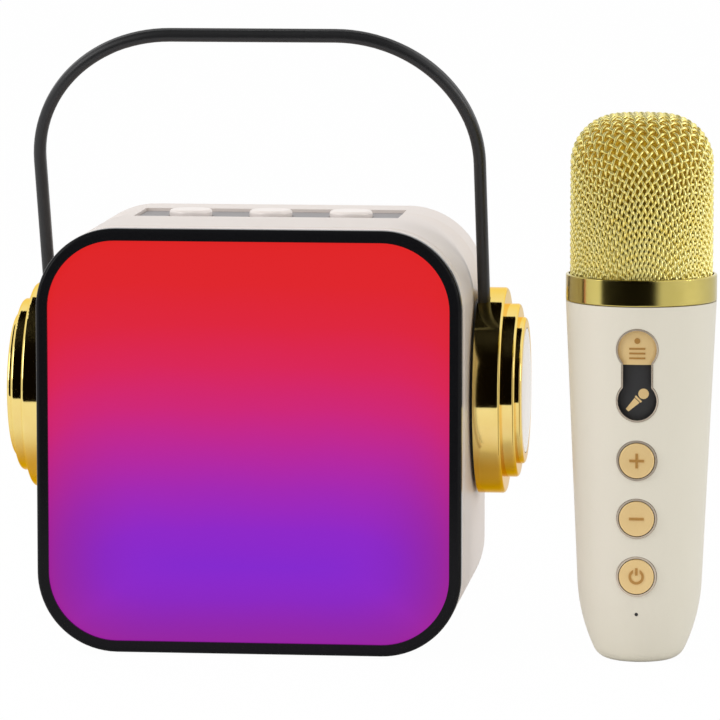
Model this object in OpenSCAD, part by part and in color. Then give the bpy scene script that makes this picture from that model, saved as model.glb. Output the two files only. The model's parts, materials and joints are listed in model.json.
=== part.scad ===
/* [Speaker body] */
// Width of the speaker across the bezel
body_w = 118; // [108:1:140]
// Height of the bezel
body_h = 118; // [112:1:140]
// Depth from the bezel's face to the rear cover
body_d = 92; // [86:1:110]
// Radius of the four corners seen from the front
corner_r = 22.2; // [19:0.2:26]
// Wall thickness of the moulded shell
wall = 2.6; // [2.2:0.1:3.2]
// How far the shell sits inside the bezel's outline
shell_inset = 0.1; // [0.1:0.1:0.6]
// Radius that rounds the shell into its back
rear_fillet = 11; // [8:0.5:12]
// Edge radius at the front of the shell
front_round = 1.6; // [0.6:0.1:2]
// Thickness of the base pad below the bezel's lowest edge
pad_proud = 0.6; // [0.4:0.1:1.2]

/* [Front] */
// Width of the black bezel around the lit panel
bezel_face = 3.3; // [2.6:0.1:4.5]
// Depth of the bezel ring
bezel_d = 3.5; // [3.2:0.1:4.5]
// Edge radius of the bezel
bezel_round = 1.4; // [0.6:0.1:1.8]
// Thickness of the bezel's lip in front of the panel
bezel_lip = 1.0; // [0.8:0.1:1.4]
// Thickness of the light panel
panel_t = 2.2; // [1.6:0.1:2.2]
// Depth of the pale band behind the bezel
band_d = 5; // [4:0.5:7]
// Width of the dark groove between band and shell
groove_w = 2.4; // [1.5:0.1:3]
// Depth of that groove
groove_depth = 1.6; // [1:0.1:2.2]

/* [Top controls] */
// Length of the control strip
strip_l = 74.6; // [66:0.2:75]
// Width of the control strip
strip_w = 25; // [20:0.5:27]
// How far the strip lies below the shell
strip_drop = 0.9; // [0.5:0.1:1.2]
// Thickness of the strip
strip_t = 1.6; // [1.2:0.1:2]
// Diameter of a top button
button_d = 12.2; // [9:0.2:14]
// Distance between the top buttons
button_pitch = 22.9; // [20:0.1:24]
// Height of the buttons above the strip
button_proud = 1.9; // [1.2:0.1:2.6]
// Travel of a top button
button_travel = 0.8; // [0.5:0.1:0.8]
// Distance of the controls and the handle's axis behind the middle
axis_y = 8; // [0:0.5:10]
// Depth of the channel that the handle's ends lie in
channel_depth = 1.5; // [0.6:0.1:1.6]

/* [Handle and knobs] */
// Height of the handle's axis
knob_z = 68.7; // [62:0.1:72]
// Distance of the handle's arms from the middle
arm_x = 61.7; // [61.6:0.05:61.9]
// Distance of the top bar's middle line from the knobs' axis
handle_l = 110.6; // [105:0.1:118]
// Angle that the handle leans forward at rest
lean = 22; // [0:1:40]
// Radius of the handle's two bends
bend_r = 38.8; // [30:0.1:46]
// Thickness of the handle
handle_t = 3.4; // [3:0.1:3.6]
// Width of the handle, across its thickness
handle_w = 4.4; // [3.8:0.1:6]
// Radius of the lowest and widest knob disc
disc1_r = 29.2; // [27:0.2:31]
// Thickness of the lowest disc
disc1_t = 7.6; // [7:0.1:8.5]
// Radius of the middle disc
disc2_r = 24.6; // [22.5:0.2:26]
// Thickness of the middle disc
disc2_t = 3.7; // [3.4:0.1:5]
// Radius of the outer ring
disc3_r = 20.8; // [20:0.2:22]
// Thickness of the outer ring
disc3_t = 1.7; // [1.6:0.1:2.6]
// Radius of the pale cap
cap_r = 17.6; // [16:0.1:18.4]
// Radius of the axle that the knob turns on
axle_r = 6; // [5:0.1:7]
// Radius of the black spacer behind the lowest disc
spacer_r = 26; // [23:0.5:27]

/* [Rear] */
// Distance of the rear cover's edge from the shell's outline
cover_inset = 12.4; // [12.2:0.1:13]
// Thickness of the rear cover
cover_t = 1.6; // [1.4:0.1:1.8]
// Height of the loudspeaker's axis
driver_z = 70; // [66:1:72]
// Radius of the round grille
grille_r = 29; // [28:0.5:31]
// Diameter of a grille hole
grille_hole_d = 3; // [2:0.2:3.2]
// Distance between grille holes
grille_pitch = 4.4; // [4.2:0.1:6]
// Height of the main board's top face
board_z = 20.6; // [20.2:0.2:22]

/* [Microphone] */
// Distance of the microphone's axis to the right of the speaker's middle
mic_x = 107.5; // [104:0.5:130]
// Depth position of the microphone's axis
mic_y = -34; // [-50:1:30]
// Radius of the flat base
mic_base_r = 8; // [7:0.5:9]
// Radius of the small bend above the base
mic_bend_r = 5; // [4:0.2:5.4]
// Radius of the long curve above it
mic_curve_r = 50; // [44:1:56]
// Radius at the top of the body
mic_top_r = 20.7; // [20:0.1:22]
// Length of the body below the collar
mic_len = 99.3; // [98:0.1:110]
// Wall of the body
mic_wall = 2.2; // [1.8:0.1:2.4]
// Height of the gold collar
collar_h = 7.3; // [7:0.1:9]
// Radius of the woven head
head_r = 19.7; // [19.4:0.1:19.8]
// Full height of the microphone
mic_h = 150.7; // [149:0.1:165]
// Radius of the head's rounded shoulder
shoulder_r = 13.5; // [12:0.5:15]
// Distance between the wires where they leave the crown
wire_pitch = 4.4; // [4.4:0.1:7]
// Half thickness of a wire
wire_r = 0.38; // [0.3:0.02:0.4]
// Height that the weave swings to each side
weave = 0.6; // [0.55:0.05:0.7]

/* [Microphone controls] */
// Radius of the switch window's lobes
lobe_r = 5.3; // [4.8:0.1:5.6]
// Half width of the window's waist
waist_r = 3.85; // [3.4:0.05:4.2]
// Distance of the window's middle below the top of the body
window_drop = 18.65; // [18.5:0.05:20.5]
// Distance of each lobe from the window's middle
lobe_off = 7.05; // [6.6:0.05:7.4]
// Radius of the round buttons' rims
rim_r = 5.5; // [5:0.1:5.6]
// Height of the lowest round button
round_low = 25.1; // [24.5:0.1:26]
// Height of the indicator dot
dot_z = 14.5; // [12:0.5:16]
// Travel of a round button
round_travel = 0.6; // [0.3:0.1:0.6]

/* [Hidden] */
$fn = 96;

// clearances
slip = 0.2;             // between pieces that are pushed together
running = 0.05;         // between the axle and the discs that turn on it
seat_gap = 0.2;         // between a moving face and what stops it
over = 1;               // how far a cutting shape passes the face that it cuts

// speaker levels
front_y = -body_d / 2;
rear_y = body_d / 2;
mid_z = pad_proud + body_h / 2;
bezel_back = front_y + bezel_d;
band_back = bezel_back + band_d;
shell_front = band_back + groove_w;
shell_w = body_w - 2 * shell_inset;
shell_h = body_h - 2 * shell_inset;
shell_r = corner_r - shell_inset;
side_x = shell_w / 2;
shell_top = mid_z + shell_h / 2;
shell_bottom = mid_z - shell_h / 2;
floor_z = shell_bottom + wall;
neck_u = shell_inset + wall + slip;
band_w = 6;
band_insert = 5;
tray_t = 1.4;
tray_gap = 3.4;
pad_w = 84;
pad_d = 56;
pad_r = 8;
pad_sink = 0.8;

// controls
panel_top = shell_top - strip_drop;
panel_bottom = panel_top - strip_t;
boss_t = 2.2;
boss_bottom = shell_top - wall - boss_t;
button_gap = 0.3;
flange_t = 1;
post_l = 5;
board_t = 1.6;
switch_gap = 0.2;
dome_switch = 6;
dome_r = 1.7;
button_bottom = boss_bottom - seat_gap - flange_t;
button_board_top = boss_bottom - post_l;
button_post_r = 2.2;
button_post_x = strip_l / 2 - 3.3;
button_post_y = strip_w / 2 - 4;

// knobs, measured outward from the shell's side
spacer_t = 0.8;
disc1_x = side_x + spacer_t + seat_gap;
disc2_x = disc1_x + disc1_t;
disc3_x = disc2_x + disc2_t;
cap_x = disc3_x + disc3_t;
cap_dome = 1;
edge_round = 0.9;
hub_hole_r = 8;
hub_boss_l = wall - slip;
screw_r = 1.5;
screw_head_r = 3.2;
screw_head_t = 1.5;
washer_r = 9;
washer_t = 0.7;
nut_t = 2.4;
ledge_t = 1.3;
axle_end = disc2_x + ledge_t + 0.1;
eye_r = 3.6;
eye_at = 17;
fold = 0.1;

// rear
cover_w = shell_w - 2 * cover_inset;
cover_h = shell_h - 2 * cover_inset;
cover_r = shell_r - cover_inset;
ledge_w = 3;
cover_in = rear_y - cover_t;
screw_x = cover_w / 2 - 4.8;
screw_z = cover_h / 2 - 4.8;
screw_post_r = 3.4;
screw_post_l = 9;
board_half = screw_x - screw_post_r - 0.6;
board_post_x = board_half - 3.7;
board_post_r = 2.8;
grille_t = 1;
basket_t = 2.6;
basket_d = 18;
basket_floor_t = 1.6;
flange_w = 56;
flange_r = 8;
cage_r = 27.4;
lip_at = 1;
land_t = 0.6;
lip_r = 26.6;
roll_r = 1.6;
roll_t = 0.5;
cone_r = 22.6;
cone_in = 20.8;
paper_t = 0.5;
neck_r = 7.9;
cone_h = 11;
coil_t = 0.7;
coil_l = 6.7;
driver_pcd_r = 33.5;
board_y0 = -6;
port_y = rear_y - 0.6;
usb_x = -24;
aux_x = -6;
card_x = 12;
switch_x = 28;
slider_travel = 4;

// battery
cell_r = 9.1;
cell_l = 65;
cell_y = -18;
cradle_t = 1.4;
cell_z = floor_z + cradle_t + cell_r + 0.1;

// microphone levels
bend_a = 65;
curve_a = 88;
bend_c = [mic_base_r, mic_bend_r];
bend_end = bend_c + mic_bend_r * [sin(bend_a), -cos(bend_a)];
curve_c = bend_end - mic_curve_r * [sin(bend_a), -cos(bend_a)];
curve_end = curve_c + mic_curve_r * [sin(curve_a), -cos(curve_a)];
collar_z = mic_len + 0.1;
collar_top = collar_z + collar_h;
collar_r = mic_top_r + 0.05;
mount_z = mic_len + 1.7;
mount_t = 2;
hoop_w = 0.9;
hoop_h = 0.5;
hoop_gap = 0.3;
head_base = mount_z + mount_t + 0.1 + 2 * hoop_h + hoop_gap;
crown_r = head_r - shoulder_r;
shoulder_z = mic_h - shoulder_r;
spigot_l = 5;
rim_w = 0.5;
mic_floor = 4;
mic_board_y = -11;
mic_board_t = 1.2;
mic_board_half = 7.5;
mic_board_low = 19;
mic_board_high = mic_len - spigot_l - 1.3;
slide_switch_t = 1.6;
slide_switch_l = 21;
cover_skin = 0.8;
slider_skin = 1;
slider_t = 0.6;
track_skin = 1.8;
slider_half = 6.4;
slider_low = 2.9;
slider_high = lobe_off + lobe_r + 0.8;
slide_travel = slider_low + lobe_off + lobe_r;
window_z = mic_len - window_drop;

// the round buttons share the room between the window and the lowest of them
window_end = window_z - lobe_off - lobe_r - rim_w;
rim_space = (window_end - round_low - 5 * rim_r) / 3;
round_heights = [for (i = [2:-1:0]) round_low + i * (2 * rim_r + rim_space)];

// radius of the body's cone and of the long curve below it
mic_slope = (mic_top_r - curve_end[0]) / (mic_len - curve_end[1]);
function mic_r(z) = curve_end[0] + mic_slope * (z - curve_end[1]);
function mic_curve_at(z) =
    curve_c[0] + sqrt(pow(mic_curve_r, 2) - pow(z - curve_c[1], 2));
spigot_r = mic_r(mic_len - spigot_l) - mic_wall - slip;
mount_r = spigot_r + slip;

// a 2D rectangle with round corners
module soft_rect(w, h, r) {
    square([w - 2 * r, h], center = true);
    square([w, h - 2 * r], center = true);
    for (x = [-1, 1], z = [-1, 1])
        translate([x * (w / 2 - r), z * (h / 2 - r)]) circle(r);
}

// turns drawing plane XY to face the front, with the body's middle at the origin
module facing(z = mid_z) {
    translate([0, 0, z]) rotate([90, 0, 0]) children();
}

// an upright slab with round corners between two depths
module slab(w, h, r, y0, y1, z = mid_z) {
    translate([0, y1, z]) rotate([90, 0, 0])
        linear_extrude(y1 - y0) soft_rect(w, h, r);
}

// a rectangle of a swept section: u is measured outward, y is the depth
module band(u0, u1, y0, y1) {
    translate([u0, -y1]) square([u1 - u0, y1 - y0]);
}

// carries a section round a rectangle with round corners; u = 0 is the outline
module sweep(w, h, r) {
    for (i = [0:3]) {
        a = i % 2 == 0 ? w : h;
        b = i % 2 == 0 ? h : w;
        rotate(90 * i) {
            translate([a / 2 - r, b / 2 - r, 0])
                rotate_extrude(angle = 90) translate([r, 0]) children();
            translate([a / 2 - r, b / 2 - r, 0]) rotate([90, 0, 0])
                linear_extrude(b - 2 * r) translate([r, 0]) children();
        }
    }
}

// what is cut off a section's corner to round it
module corner_cut(r) {
    difference() {
        square(r + over);
        circle(r);
    }
}

module from_side(side, x = 0, y = axis_y, z = knob_z) {
    translate([side * x, y, z]) rotate([0, side * 90, 0]) children();
}

module disc(r, h, round) {
    rotate_extrude() {
        square([r, h - round]);
        square([r - round, h]);
        translate([r - round, 0]) intersection() {
            translate([0, h - round]) circle(round);
            translate([-2 * round, 0]) square([4 * round, h + round]);
        }
    }
}

module box(x0, x1, y0, y1, z0, z1) {
    translate([x0, y0, z0]) cube([x1 - x0, y1 - y0, z1 - z0]);
}

// ---------------------------------------------------------------- front

module front_diffuser() {
    color([0.75, 0.13, 0.45])
        slab(body_w - 2 * (bezel_face / 2), body_h - 2 * (bezel_face / 2),
            corner_r - bezel_face / 2, front_y + bezel_lip, front_y + bezel_lip + panel_t);
}

module front_bezel() {
    color([0.02, 0.02, 0.02]) facing()
        sweep(body_w, body_h, corner_r)
            difference() {
                union() {
                    band(-bezel_face, 0, front_y, front_y + bezel_lip);
                    band(-bezel_face / 2 + slip, 0, front_y, bezel_back);
                }
                translate([-bezel_round, -front_y - bezel_round]) corner_cut(bezel_round);
            }
}

module front_band() {
    color([0.87, 0.83, 0.79]) facing()
        sweep(body_w, body_h, corner_r) {
            band(-band_w, 0, bezel_back, band_back);
            band(-band_w, -groove_depth, band_back, shell_front);
            band(-band_w, -neck_u, shell_front, shell_front + band_insert);
        }
}

module light_tray() {
    inner_w = body_w - 2 * (band_w + slip);
    inner_h = body_h - 2 * (band_w + slip);
    inner_r = corner_r - band_w - slip;
    color([0.93, 0.93, 0.91])
        difference() {
            slab(inner_w, inner_h, inner_r, bezel_back + slip, shell_front + band_insert);
            slab(inner_w - 2 * tray_t, inner_h - 2 * tray_t, inner_r - tray_t,
                bezel_back - over, shell_front + band_insert - tray_t);
        }
}

module led_board() {
    back = shell_front + band_insert - tray_t;
    edge = band_w + slip + tray_t + tray_gap;
    led = 3.4;
    led_h = 1.2;
    pitch = 15;
    color([0.9, 0.9, 0.88]) {
        slab(body_w - 2 * edge, body_h - 2 * edge, corner_r - edge, back - board_t, back);
        for (i = [-2.5:2.5], j = [-2.5:2.5])
            translate([i * pitch - led / 2, back - board_t - led_h, mid_z + j * pitch - led / 2])
                cube([led, led_h, led]);
    }
}

// ---------------------------------------------------------------- shell

module channel_section() {
    channel_w = strip_w + 0.4;
    big_r = (channel_w * channel_w / 4 + channel_depth * channel_depth) / (2 * channel_depth);
    intersection() {
        translate([shell_r + big_r, -axis_y]) circle(big_r, $fn = 360);
        translate([shell_r - over, -axis_y - channel_w / 2])
            square([over + channel_depth + 1, channel_w]);
    }
}

// the shallow valley round one upper corner, deepest at the side
module channel() {
    facing(mid_z)
        translate([side_x - shell_r - channel_depth, shell_h / 2 - shell_r, 0]) {
            rotate_extrude(angle = 90, $fn = 180) channel_section();
            rotate([90, 0, 0])
                linear_extrude(shell_h / 2 - shell_r - knob_z + mid_z) channel_section();
        }
}

module main_shell() {
    pocket_l = strip_l + 2 * slip;
    pocket_w = strip_w + 2 * slip;
    color([0.87, 0.83, 0.79])
        difference() {
            union() {
                facing() sweep(shell_w, shell_h, shell_r) {
                    difference() {
                        band(-wall, 0, shell_front, rear_y - rear_fillet);
                        translate([-front_round, -shell_front - front_round])
                            corner_cut(front_round);
                    }
                    intersection() {
                        difference() {
                            translate([-rear_fillet, rear_fillet - rear_y]) circle(rear_fillet);
                            translate([-rear_fillet, rear_fillet - rear_y])
                                circle(rear_fillet - wall);
                        }
                        translate([-rear_fillet, -rear_y]) square(rear_fillet);
                    }
                    difference() {
                        band(-cover_inset - ledge_w, -rear_fillet, rear_y - wall, rear_y);
                        band(-cover_inset - ledge_w - over, -cover_inset, cover_in, rear_y + over);
                    }
                }
                // thicker roof below the control strip, with posts for the switch board
                box(-pocket_l / 2 - 2, pocket_l / 2 + 2, axis_y - pocket_w / 2 - 2,
                    axis_y + pocket_w / 2 + 2, boss_bottom, shell_top - wall / 2);
                for (x = [-1, 1], y = [-1, 1])
                    translate([x * button_post_x, axis_y + y * button_post_y, button_board_top])
                        cylinder(r = button_post_r, h = post_l + 1);
                // screw posts behind the rear cover
                for (x = [-1, 1], z = [-1, 1])
                    translate([x * screw_x, cover_in, mid_z + z * screw_z])
                        rotate([90, 0, 0]) cylinder(r = screw_post_r, h = screw_post_l);
                // posts under the main board
                for (x = [-1, 1], y = [board_y0 + 6, cover_in - 12])
                    translate([x * board_post_x, y, floor_z - 1])
                        cylinder(r = board_post_r, h = board_z - board_t - floor_z + 1);
            }
            box(-pocket_l / 2, pocket_l / 2, axis_y - pocket_w / 2, axis_y + pocket_w / 2,
                panel_bottom, shell_top + over);
            for (i = [-1:1])
                translate([i * button_pitch, axis_y, boss_bottom - over])
                    cylinder(d = button_d + 2 * button_gap, h = 12);
            channel();
            mirror([1, 0, 0]) channel();
            for (side = [-1, 1])
                from_side(side, side_x - 10) cylinder(r = hub_hole_r, h = 20);
            for (x = [-1, 1], z = [-1, 1])
                translate([x * screw_x, rear_y, mid_z + z * screw_z])
                    rotate([90, 0, 0]) cylinder(r = 1.05, h = 9);
            translate([0, 0, shell_bottom - over])
                linear_extrude(over + pad_sink) soft_rect(pad_w + 2 * slip, pad_d + 2 * slip, pad_r);
        }
}

module base_pad() {
    color([0.25, 0.25, 0.25])
        linear_extrude(shell_bottom + pad_sink) soft_rect(pad_w, pad_d, pad_r - slip);
}

// ---------------------------------------------------------------- top controls

module top_panel() {
    color([0.6, 0.59, 0.61])
        difference() {
            box(-strip_l / 2, strip_l / 2, axis_y - strip_w / 2, axis_y + strip_w / 2,
                panel_bottom, panel_top);
            for (i = [-1:1])
                translate([i * button_pitch, axis_y, panel_bottom - over])
                    cylinder(d = button_d + 2 * button_gap, h = strip_t + 2 * over);
        }
}

module top_button(i) {
    top = panel_top + button_proud;
    color([0.88, 0.82, 0.78])
        translate([i * button_pitch, axis_y, 0]) {
            translate([0, 0, button_bottom + flange_t])
                disc(button_d / 2, top - button_bottom - flange_t, 1);
            translate([0, 0, button_bottom])
                cylinder(d = button_d + 2 * button_gap + 1.6, h = flange_t);
        }
}

module button_left() { top_button(-1); }
module button_middle() { top_button(0); }
module button_right() { top_button(1); }

module button_board() {
    switch_top = button_bottom - button_travel - switch_gap;
    half_l = strip_l / 2 + slip;
    half_w = strip_w / 2 - 1.5;
    color([0.1, 0.35, 0.2]) {
        box(-half_l, half_l, axis_y - half_w, axis_y + half_w,
            button_board_top - board_t, button_board_top);
        for (i = [-1:1]) {
            box(i * button_pitch - dome_switch / 2, i * button_pitch + dome_switch / 2,
                axis_y - dome_switch / 2, axis_y + dome_switch / 2,
                button_board_top, switch_top - 0.6);
            translate([i * button_pitch, axis_y, button_board_top])
                cylinder(r = dome_r, h = switch_top - button_board_top);
        }
    }
}

// ---------------------------------------------------------------- rear

module port_window(x, w, h, z) {
    box(x - w / 2 - 0.3, x + w / 2 + 0.3, cover_in - over, rear_y + over, z - 0.3, z + h + 0.3);
}

module rear_cover() {
    color([0.87, 0.83, 0.79])
        difference() {
            slab(cover_w - 2 * slip, cover_h - 2 * slip, cover_r - slip, cover_in, rear_y);
            translate([0, rear_y + over, driver_z]) rotate([90, 0, 0])
                cylinder(r = grille_r + slip, h = grille_t + over);
            translate([0, rear_y + over, driver_z]) rotate([90, 0, 0])
                cylinder(r = grille_r - 3, h = cover_t + 2 * over);
            port_window(usb_x, 9, 3.3, board_z);
            port_window(card_x, 12.4, 1.8, board_z + 0.6);
            port_window(switch_x, 4 + slider_travel, 2.2, board_z + 1.4);
            translate([aux_x, rear_y + over, board_z + 3.2]) rotate([90, 0, 0])
                cylinder(r = 3.5, h = cover_t + 2 * over);
            driver_at(cover_in + 1.1) for (a = [45:90:315]) rotate(a)
                translate([driver_pcd_r, 0, 0]) cylinder(r = 1.45, h = 2);
            for (x = [-1, 1], z = [-1, 1])
                translate([x * screw_x, rear_y + over, mid_z + z * screw_z]) rotate([90, 0, 0]) {
                    cylinder(r = 1.3, h = cover_t + 2 * over);
                    cylinder(r = 2.4, h = over + 1);
                }
        }
}

module rear_screws() {
    color([0.7, 0.7, 0.7])
        for (x = [-1, 1], z = [-1, 1])
            translate([x * screw_x, rear_y - 0.1, mid_z + z * screw_z]) rotate([90, 0, 0]) {
                cylinder(r = 2.2, h = 0.9);
                cylinder(r = 1, h = 8);
            }
}

module rear_grille() {
    n = floor((grille_r - 4.5) / grille_pitch);
    color([0.2, 0.2, 0.2])
        translate([0, rear_y, driver_z]) rotate([90, 0, 0])
            difference() {
                cylinder(r = grille_r, h = grille_t);
                for (i = [-n:n], j = [-n:n]) {
                    p = grille_pitch * [i + j / 2, j * sin(60)];
                    if (norm(p) < grille_r - 5)
                        translate([p[0], p[1], -over])
                            cylinder(d = grille_hole_d, h = grille_t + 2 * over, $fn = 24);
                }
            }
}

module driver_at(y) {
    translate([0, y, driver_z]) rotate([90, 0, 0]) children();
}

module driver_basket() {
    window_w = 24;
    window_h = basket_d - basket_t - 5.4;
    color([0.15, 0.15, 0.16])
        driver_at(cover_in) difference() {
            union() {
                linear_extrude(basket_t) soft_rect(flange_w, flange_w, flange_r);
                translate([0, 0, basket_t / 2]) cylinder(r = cage_r, h = basket_d - basket_t / 2);
            }
            translate([0, 0, -over]) cylinder(r = lip_r, h = lip_at + land_t + over);
            translate([0, 0, 0.5]) cylinder(r = lip_r - 1.3, h = basket_d - basket_floor_t - 0.5);
            translate([0, 0, basket_d - 3]) cylinder(r = neck_r + 0.5, h = 5);
            for (a = [0:90:270]) rotate(a)
                translate([10, -window_w / 2, basket_t + 1.8]) cube([20, window_w, window_h]);
            for (a = [45:90:315]) rotate(a)
                translate([driver_pcd_r, 0, -over]) cylinder(r = 1.6, h = basket_t + 2 * over);
        }
}

module driver_surround() {
    color([0.08, 0.08, 0.08])
        driver_at(cover_in - lip_at) rotate_extrude() {
            intersection() {
                translate([cone_r + 1.4, land_t / 2]) difference() {
                    circle(roll_r);
                    circle(roll_r - roll_t);
                }
                translate([cone_in - 0.8, -2]) square([8, 2 + land_t / 2]);
            }
            translate([cone_in, 0]) square([2, land_t]);
            translate([cone_r + 2.6, 0]) square([lip_r - cone_r - 2.65, land_t]);
        }
}

module driver_cone() {
    color([0.2, 0.2, 0.22])
        driver_at(cover_in - lip_at) rotate_extrude() {
            polygon([[cone_r, land_t], [cone_r, land_t + paper_t], [cone_in, land_t + paper_t],
                [neck_r + 1.1, cone_h], [neck_r, cone_h], [neck_r, cone_h - 0.8],
                [cone_in - 0.6, land_t]]);
            // dust cap
            polygon([[0, cone_h - 4.6], [neck_r / 2, cone_h - 4], [neck_r + 0.1, cone_h - 1.4],
                [neck_r + 0.1, cone_h - 0.3], [neck_r / 2 - 0.4, cone_h - 3.2], [0, cone_h - 3.8]]);
            // voice coil
            translate([neck_r - coil_t, cone_h - coil_t]) square([coil_t + 0.05, coil_l]);
        }
}

module driver_magnet() {
    magnet_r = 19;
    magnet_t = 10;
    color([0.35, 0.35, 0.37])
        driver_at(cover_in - basket_d) difference() {
            union() {
                disc(magnet_r, magnet_t, 0.8);
                cylinder(r = magnet_r - 5, h = magnet_t + 2);
            }
            translate([0, 0, -over]) cylinder(r = neck_r + 0.4, h = 3 + over);
        }
}

module driver_screws() {
    color([0.7, 0.7, 0.7])
        driver_at(cover_in - basket_t) for (a = [45:90:315]) rotate(a)
            translate([driver_pcd_r, 0, 0]) {
                cylinder(r = 2.6, h = 1.4);
                translate([0, 0, -basket_t - 1]) cylinder(r = 1.4, h = basket_t + 1.1);
            }
}

// ---------------------------------------------------------------- electronics

module main_board() {
    chip = 12;
    chip_t = 1.4;
    can_r = 3.2;
    can_h = 8;
    color([0.1, 0.35, 0.2]) {
        box(-board_half, board_half, board_y0, cover_in - 6, board_z - board_t, board_z);
        box(-chip, 0, board_y0 + 10, board_y0 + 10 + chip, board_z, board_z + chip_t);
        box(chip, chip + 8, board_y0 + chip, board_y0 + chip + 8, board_z, board_z + 1.2);
        box(usb_x - 4, usb_x + 4, board_y0 + 8, board_y0 + 12, board_z, board_z + 5);
        for (p = [[switch_x - 2, board_y0 + 10], [can_r + 0.5 - board_half, board_y0 + 18]])
            translate([p[0], p[1], board_z]) cylinder(r = can_r, h = can_h);
    }
}

module usb_socket() {
    color([0.75, 0.76, 0.78])
        difference() {
            box(usb_x - 4.5, usb_x + 4.5, port_y - 8, port_y, board_z, board_z + 3.2);
            box(usb_x - 4.1, usb_x + 4.1, port_y - 6.5, port_y + over,
                board_z + 0.35, board_z + 2.85);
        }
}

module aux_socket() {
    color([0.1, 0.1, 0.1])
        difference() {
            union() {
                box(aux_x - 4, aux_x + 4, cover_in - 12, cover_in - 0.4, board_z, board_z + 6.4);
                translate([aux_x, port_y, board_z + 3.2]) rotate([90, 0, 0])
                    cylinder(r = 3.1, h = 4);
            }
            translate([aux_x, port_y + over, board_z + 3.2]) rotate([90, 0, 0])
                cylinder(r = 1.8, h = 11);
        }
}

module card_slot() {
    color([0.72, 0.73, 0.75])
        difference() {
            box(card_x - 6.9, card_x + 6.9, cover_in - 13, cover_in - 0.2, board_z, board_z + 2.6);
            box(card_x - 5.7, card_x + 5.7, cover_in - 11, cover_in + over,
                board_z + 0.8, board_z + 1.9);
        }
}

module power_switch() {
    color([0.1, 0.1, 0.1])
        difference() {
            box(switch_x - 7, switch_x + 7, cover_in - 7.5, cover_in - 0.2, board_z, board_z + 5);
            box(switch_x - 2.3 - slider_travel / 2, switch_x + 2.3 + slider_travel / 2,
                cover_in - 3, cover_in + over, board_z + 1.2, board_z + 3.8);
        }
}

module power_slider() {
    color([0.2, 0.2, 0.2])
        box(switch_x - 2 - slider_travel / 2, switch_x + 2 - slider_travel / 2,
            cover_in - 2.8, rear_y + 0.4, board_z + 1.4, board_z + 3.6);
}

module battery_cell() {
    color([0.2, 0.45, 0.7])
        translate([-cell_l / 2, cell_y, cell_z]) rotate([0, 90, 0]) {
            cylinder(r = cell_r, h = cell_l - 1.5);
            cylinder(r = 3, h = cell_l);
        }
}

module battery_cradle() {
    half = cell_r + slip + cradle_t;
    end = cell_l / 2 + slip;
    color([0.12, 0.12, 0.12]) {
        box(-end - cradle_t, end + cradle_t, cell_y - half, cell_y + half,
            floor_z, floor_z + cradle_t);
        for (s = [-1, 1]) {
            box(-end, end, cell_y + s * (half - cradle_t / 2) - cradle_t / 2,
                cell_y + s * (half - cradle_t / 2) + cradle_t / 2, floor_z, cell_z - 2);
            box(s * (end + cradle_t / 2) - cradle_t / 2, s * (end + cradle_t / 2) + cradle_t / 2,
                cell_y - half, cell_y + half, floor_z, cell_z + 4);
        }
    }
}

// ---------------------------------------------------------------- handle and knobs

// placed with the knobs' axis as the X axis, then leaned forward
module leaning() {
    translate([0, axis_y, knob_z]) rotate([lean, 0, 0]) children();
}

module handle_section(grow = 0) {
    square([handle_t + 2 * grow, handle_w - handle_t], center = true);
    for (s = [-1, 1])
        translate([0, s * (handle_w - handle_t) / 2]) circle(handle_t / 2 + grow);
}

// the eye at the end of an arm, which hooks into the knob
module eye(grow) {
    translate([arm_x - handle_t / 2 - grow, 0, eye_at]) rotate([0, 90, 0])
        cylinder(r = eye_r + grow, h = handle_t + 2 * grow);
}

module handle_side() {
    eye(0);
    translate([arm_x, 0, eye_at]) linear_extrude(handle_l - bend_r - eye_at) handle_section();
    translate([arm_x - bend_r, 0, handle_l - bend_r]) rotate([90, 0, 0])
        rotate_extrude(angle = 90, $fn = 180) translate([bend_r, 0]) handle_section();
}

module handle() {
    bar_half = arm_x - bend_r;
    color([0.1, 0.1, 0.1])
        leaning() {
            handle_side();
            mirror([1, 0, 0]) handle_side();
            translate([-bar_half, 0, handle_l]) rotate([0, 90, 0])
                linear_extrude(2 * bar_half) handle_section();
        }
}

module knob_hub(side) {
    color([0.06, 0.06, 0.06])
        difference() {
            union() {
                from_side(side, side_x) cylinder(r = spacer_r, h = spacer_t);
                from_side(side, side_x - hub_boss_l)
                    cylinder(r = hub_hole_r - slip, h = hub_boss_l + 0.1);
                from_side(side, side_x) cylinder(r = axle_r, h = axle_end - side_x);
            }
            from_side(side, side_x - 2 * hub_boss_l) cylinder(r = screw_r + 0.1, h = 40);
        }
}

module knob_base(side) {
    color([0.85, 0.66, 0.2])
        difference() {
            from_side(side, disc1_x) disc(disc1_r, disc1_t, edge_round);
            from_side(side, disc1_x - over) cylinder(r = axle_r + running, h = disc1_t + 2 * over);
            leaning() mirror([side < 0 ? 1 : 0, 0, 0]) {
                eye(fold);
                translate([disc1_x - over, 0, eye_at]) rotate([0, 90, 0])
                    cylinder(r = eye_r + fold, h = over + 1);
                translate([arm_x, 0, eye_at]) linear_extrude(disc1_r) handle_section(fold);
                translate([disc1_x - over, -handle_w / 2 - fold, eye_at])
                    cube([arm_x - disc1_x + over, handle_w + 2 * fold, disc1_r]);
            }
        }
}

module knob_step(side) {
    color([0.85, 0.66, 0.2])
        difference() {
            from_side(side, disc2_x) disc(disc2_r, disc2_t, edge_round);
            from_side(side, disc2_x - over) cylinder(r = axle_r + running, h = disc2_t + 2 * over);
            from_side(side, disc2_x + ledge_t) cylinder(r = washer_r + slip, h = disc2_t);
        }
}

module knob_ring(side) {
    color([0.85, 0.66, 0.2])
        difference() {
            from_side(side, disc3_x) disc(disc3_r, disc3_t, edge_round);
            from_side(side, disc3_x - over) cylinder(r = cap_r + slip, h = disc3_t + 2 * over);
        }
}

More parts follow.
